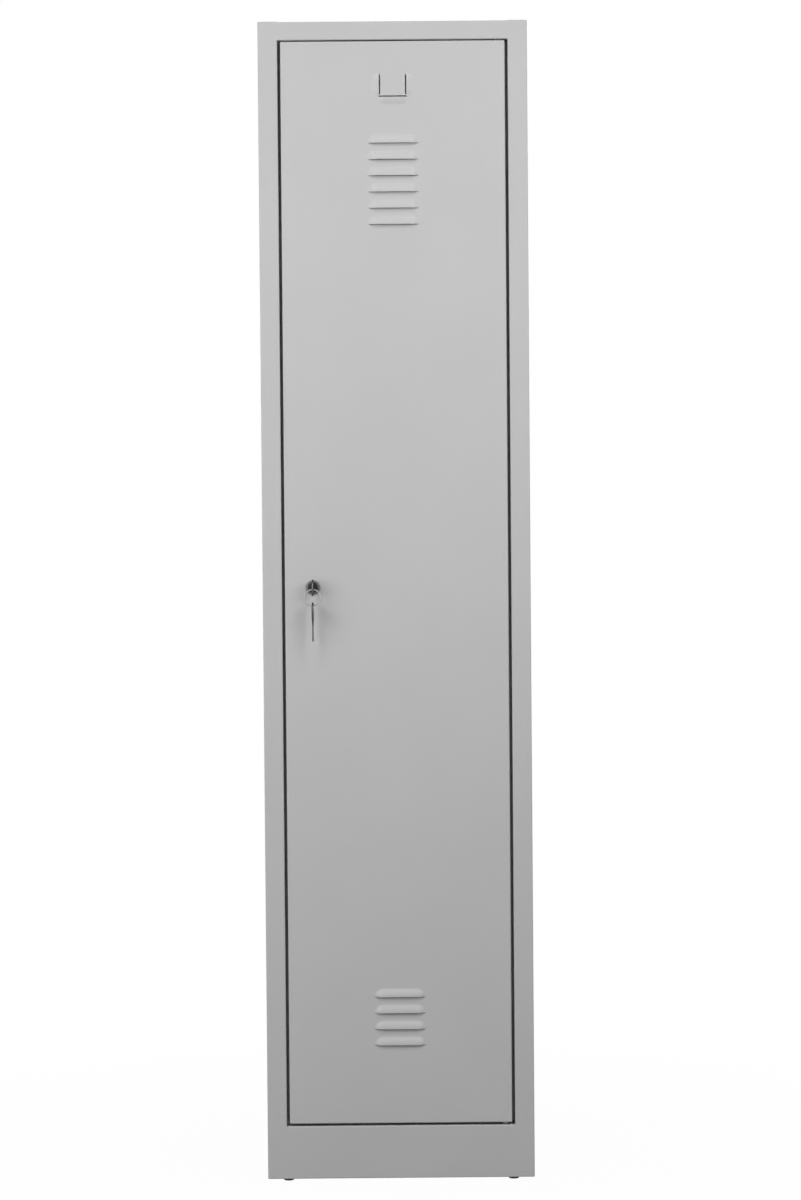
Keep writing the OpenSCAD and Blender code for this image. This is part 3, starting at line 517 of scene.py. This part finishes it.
def key_plate(name, place):
    """A key at its place. The profile of its rim leaves each side on a quarter circle: at an angle, it
    lies the edge's radius times one minus the cosine inside the outline, and rises with the sine."""
    lean = np.radians(np.linspace(90, 0, 5))
    insets = KEY_EDGE * (1 - np.cos(lean))
    heights = KEY_HALF - KEY_EDGE + KEY_EDGE * np.sin(lean)
    insets, heights = np.concatenate([insets, insets[::-1]]), np.concatenate([heights, -heights[::-1]])
    patches = []
    for outline in (key_rim, key_hole):
        flat = np.stack([moved_in(outline, i) for i in insets])
        flat = np.concatenate([flat, np.broadcast_to(heights[:, None, None], (*flat.shape[:2], 1))], -1)
        patches.append(grid_patch(place(flat), wrap_columns=True))
    rims = [moved_in(outline, KEY_EDGE) for outline in (key_rim, key_hole)]
    for side in (KEY_HALF, -KEY_HALF):
        depth = side - np.sign(side) * GROOVE_DEPTH
        walls = np.stack([np.insert(groove, 2, side, axis=1), np.insert(groove, 2, depth, axis=1)])
        patches.append(grid_patch(place(walls), wrap_columns=True, smooth=False))
        for shapes, height in ((rims + [groove], side), ([groove], depth)):
            points, faces, _ = flat_sheet(shapes, height)
            patches.append((place(points[:, [0, 2, 1]]), faces, False))
    return make_piece(name, patches, closed=True)


def in_lock(p):
    """A key's points with its length into the door and its width upright."""
    return np.stack([LOCK_X + p[..., 2], KEY_Y + p[..., 0], LOCK_Z + p[..., 1]], -1)


def on_ring(p):
    """A key's points with its length downwards, turned about it: a width and a thickness change places by
    the sine of the turn."""
    thick, wide = p[..., 2], p[..., 1]
    return np.stack([LOCK_X + thick * np.cos(SPARE_TURN) - wide * np.sin(SPARE_TURN),
                     KEY_Y + thick * np.sin(SPARE_TURN) + wide * np.cos(SPARE_TURN),
                     2 * RING_Z - LOCK_Z - p[..., 0]], -1)


key_in_lock = key_plate("key_in_lock", in_lock)
hanging_key = key_plate("hanging_key", on_ring)

# %% [markdown]
# The key ring is a split ring: flattened spring wire wound twice round, with a short step where one turn
# passes into the other. Its path is a circle whose place along the axis changes only over that step, and
# an oval section is carried along it. The wire's two ends are rounded off by letting the section shrink
# to a point.

# %% Split ring
RING_R, WIRE_HALF_W, WIRE_HALF_T = 12.5, 0.93, 0.46
STEP_START, STEP_LENGTH, END_LENGTH = 0.46, 0.08, 0.006
along = np.linspace(0, 1, 321)[:, None]
round_wire = np.radians(np.arange(0, 360, 20))[None, :]
turn = along * 4 * np.pi + np.radians(35)
step = np.clip((along - STEP_START) / STEP_LENGTH, 0, 1)
across = -0.5 + step * step * (3 - 2 * step)
to_end = np.clip(1 - np.minimum(along, 1 - along) / END_LENGTH, 0, 1)
end_round = np.sqrt(np.clip(1 - to_end ** 2, 0, 1))
oval = np.sign(np.cos(round_wire)) * abs(np.cos(round_wire)) ** 0.7
reach = RING_R + WIRE_HALF_W * end_round * oval
ring_points = np.stack([LOCK_X + reach * np.cos(turn),
                        KEY_Y + across + WIRE_HALF_T * end_round * np.sin(round_wire),
                        RING_Z + reach * np.sin(turn)], -1)
split_ring = make_piece("split_ring", [grid_patch(ring_points, wrap_columns=True)], closed=True)

# %% [markdown]
# Bare and plated metals differ less in colour than in how they scatter light. Each one below is a
# metallic shader with a base colour, a roughness that wanders between two values, and fine marks: drawn
# lines along a tube, tumbling scratches on a key, and the cloudy bloom of zinc plating.

# %% Metals
def metal(name, dark, light, smooth, rough, grain, marks, stretch=None, depth=0.00001, edge=1.0):
    """A metal whose colour and roughness wander between two values with the clouds of its grain, under
    fine marks. An edge below 1 darkens the reflection seen almost edge-on: painted shade on the grazing
    shine."""
    material, tree, shader, where = new_finish(name)
    shader.inputs["Metallic"].default_value = 1.0
    shader.inputs["Specular Tint"].default_value = (edge, edge, edge, 1)
    wander(tree, noise(tree, where, grain, 4), dark, light, shader.inputs["Base Color"])
    scratches = noise(tree, where, marks, 3, stretch)
    wander(tree, scratches, smooth, rough, shader.inputs["Roughness"])
    tree.links.new(bump(tree, scratches, depth), shader.inputs["Normal"])
    return material


zinc = metal("zinc", (0.52, 0.54, 0.56), (0.62, 0.63, 0.62), 0.28, 0.42, 90, 700)
rail_chrome = metal("rail_chrome", (0.70, 0.70, 0.71), (0.76, 0.76, 0.77), 0.07, 0.15, 40, 1500,
                    stretch=(0.02, 1, 1), depth=0.000004)
# This nickel is darkened far below bare nickel: painted shade on the edge-on keys and the hinge washer.
nickel = metal("nickel", (0.105, 0.103, 0.10), (0.16, 0.157, 0.15), 0.26, 0.40, 160, 1800,
               stretch=(1, 1, 0.3), edge=0.15)
ring_steel = metal("ring_steel", (0.26, 0.26, 0.265), (0.32, 0.32, 0.325), 0.28, 0.40, 300, 2500)
dark_metal = metal("dark_metal", (0.105, 0.105, 0.107), (0.145, 0.145, 0.148), 0.24, 0.36, 300, 1400,
                   edge=0.3)
# black_metal is painted shade: the plug is plated metal, and its near-black stands in for keyway shade.
black_metal = metal("black_metal", (0.034, 0.034, 0.036), (0.052, 0.052, 0.055), 0.24, 0.36, 300, 1400,
                    edge=0.3)
dress(lock_case, dark_metal, "door", "dark_metal", "lock_body")
dress(key_in_lock, nickel, "key", "nickel", "key")
dress(hanging_key, nickel, "spare_key", "nickel", "spare_key")
dress(split_ring, ring_steel, "key_ring", "ring_steel", "key_ring")
# The washer's darkened nickel is painted shade of the gap below the door.
coat(nickel, "hinge_washer")
# The plug's near-black is painted keyway shade.
coat(black_metal, "lock_plug")
coat(rail_chrome, "hanging_rail")
coat(zinc, "foot_plates", "foot_nuts", "rail_sockets", "upper_hinge_bracket", "lower_hinge_bracket",
     "upper_hinge_pin", "lower_hinge_pin", "lock_nut", "lock_cam", "cam_washer", "cam_screw",
     "left_coat_hook", "right_coat_hook", *[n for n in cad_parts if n.endswith("_stud")])

# %% [markdown]
# The plastics and the rubber are moulded, so they carry the grain of their mould. Nylon lets a little
# light in, which softens it; black rubber and the feet's hard plastic are matt and never quite black.

# %% Plastics and rubber
def moulded(name, dark, light, smooth, rough, grain, depth):
    """A moulded material: mould grain as a bump, and colour and roughness that follow it slightly."""
    material, tree, shader, where = new_finish(name)
    fine = noise(tree, where, grain, 3)
    wander(tree, noise(tree, where, 60, 2), dark, light, shader.inputs["Base Color"])
    wander(tree, fine, smooth, rough, shader.inputs["Roughness"])
    tree.links.new(bump(tree, fine, depth), shader.inputs["Normal"])
    return material, shader


nylon, nylon_shader = moulded("nylon", (0.055, 0.055, 0.057), (0.075, 0.075, 0.078), 0.38, 0.5, 900, 0.00001)
nylon_shader.inputs["Subsurface Weight"].default_value = 0.15
nylon_shader.inputs["Subsurface Radius"].default_value = (0.001, 0.001, 0.0008)
rubber, _ = moulded("rubber", 0.018, 0.028, 0.75, 0.9, 1600, 0.00003)
pad_plastic, _ = moulded("pad_plastic", 0.025, 0.038, 0.45, 0.6, 1300, 0.00002)
coat(nylon, "upper_bush", "lower_bush")
coat(rubber, "door_buffers")
coat(pad_plastic, *[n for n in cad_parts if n.endswith("_pad")])

# %% [markdown]
# The floor is pale and takes the locker's shadow. Seen by the camera it is mostly its own white light, so
# it melts into the white background, and a share of real shading is left for the shadow. The lamps don't
# see that white.

# %% Floor and background
def seen_directly(tree):
    """1 for rays that come from the camera, from a reflection or through glass, and 0 for the light in
    the room."""
    path = tree.nodes.new("ShaderNodeLightPath").outputs
    sharp = calculate(tree, "MAXIMUM", path["Is Camera Ray"], path["Is Glossy Ray"])
    return calculate(tree, "MAXIMUM", sharp, path["Is Transmission Ray"])


def mix(tree, share, first, second, output):
    """Sends two shaders to an output. The share is the part of the second one."""
    both = tree.nodes.new("ShaderNodeMixShader")
    for socket, source in zip(both.inputs, (share, first.outputs[0], second.outputs[0])):
        tree.links.new(source, socket)
    tree.links.new(both.outputs[0], tree.nodes[output].inputs["Surface"])


world = bpy.data.worlds.new("studio")
scene.world = world
world.use_nodes = True
sky = world.node_tree
room, white = sky.nodes["Background"], sky.nodes.new("ShaderNodeBackground")
for light, strength in ((room, 0.095), (white, 1.0)):
    light.inputs["Color"].default_value = (1, 1, 1, 1)
    light.inputs["Strength"].default_value = strength
mix(sky, seen_directly(sky), room, white, "World Output")

floor_x, floor_y = np.meshgrid([-6000.0, 6000], [-6000.0, 6000])
floor = make_piece("floor", [grid_patch(np.stack([floor_x, floor_y, np.zeros((2, 2))], -1))])
floor_finish, tree, ground, where = new_finish("floor")
ground.inputs["Base Color"].default_value = (0.35, 0.35, 0.35, 1)
ground.inputs["Roughness"].default_value = 0.9
glow = tree.nodes.new("ShaderNodeEmission")
glow.inputs["Strength"].default_value = 1.0
far = tree.nodes.new("ShaderNodeVectorMath")
far.operation = "LENGTH"
tree.links.new(where, far.inputs[0])
fade = tree.nodes.new("ShaderNodeMapRange")
for socket, value in (("From Min", 0.3), ("From Max", 1.3), ("To Min", 0.98), ("To Max", 1.0)):
    fade.inputs[socket].default_value = value
tree.links.new(far.outputs["Value"], fade.inputs["Value"])
mix(tree, calculate(tree, "MULTIPLY", seen_directly(tree), fade.outputs[0]), ground, glow, "Material Output")
floor.data.materials.append(floor_finish)

# %% [markdown]
# A studio lights such a locker with soft lamps at both sides of the camera, some level with it and some
# above. None stands straight in front, because it would shine into the gaps beside the door, which are
# dark in the photograph. The high lamps make the louvres stand out, and the two beside the camera throw
# the two faint shadows of the key. Two more lamps behind the locker don't reach its front, and keep the
# sides and the back from sinking into the dark. They stand lower than its top, which would otherwise
# mirror them and glare when it is seen from the front's sides.

# %% Lamps
def softbox(name, place, aim, width, height, power):
    """An area lamp at a place, turned to shine at a point."""
    light = bpy.data.lights.new(name, "AREA")
    light.shape, light.size, light.size_y, light.energy = "RECTANGLE", width, height, power
    lamp = bpy.data.objects.new(name, light)
    scene.collection.objects.link(lamp)
    lamp.location = place
    lamp.rotation_euler = (Vector(aim) - Vector(place)).to_track_quat("-Z", "Y").to_euler()
    print(name, place, power, "W")


softbox("left_lamp", (-1.4, -1.79, 1.35), (0, -0.25, 1.35), 1.6, 1.4, 19.6)
softbox("right_lamp", (1.1, -1.79, 1.6), (0, -0.25, 1.5), 1.0, 0.8, 11.7)
for side, sign in (("left", -1), ("right", 1)):
    softbox(f"high_{side}_lamp", (1.2 * sign, -2.6, 4.0), (0, -0.25, 1.0), 1.0, 1.2, 31.5)
for side, sign in (("left", -1), ("right", 1)):
    softbox(f"back_{side}_lamp", (2.4 * sign, 2.2, 1.1), (0, 0.25, 1.0), 1.4, 1.2, 22)
scene.view_settings.view_transform = "Standard"
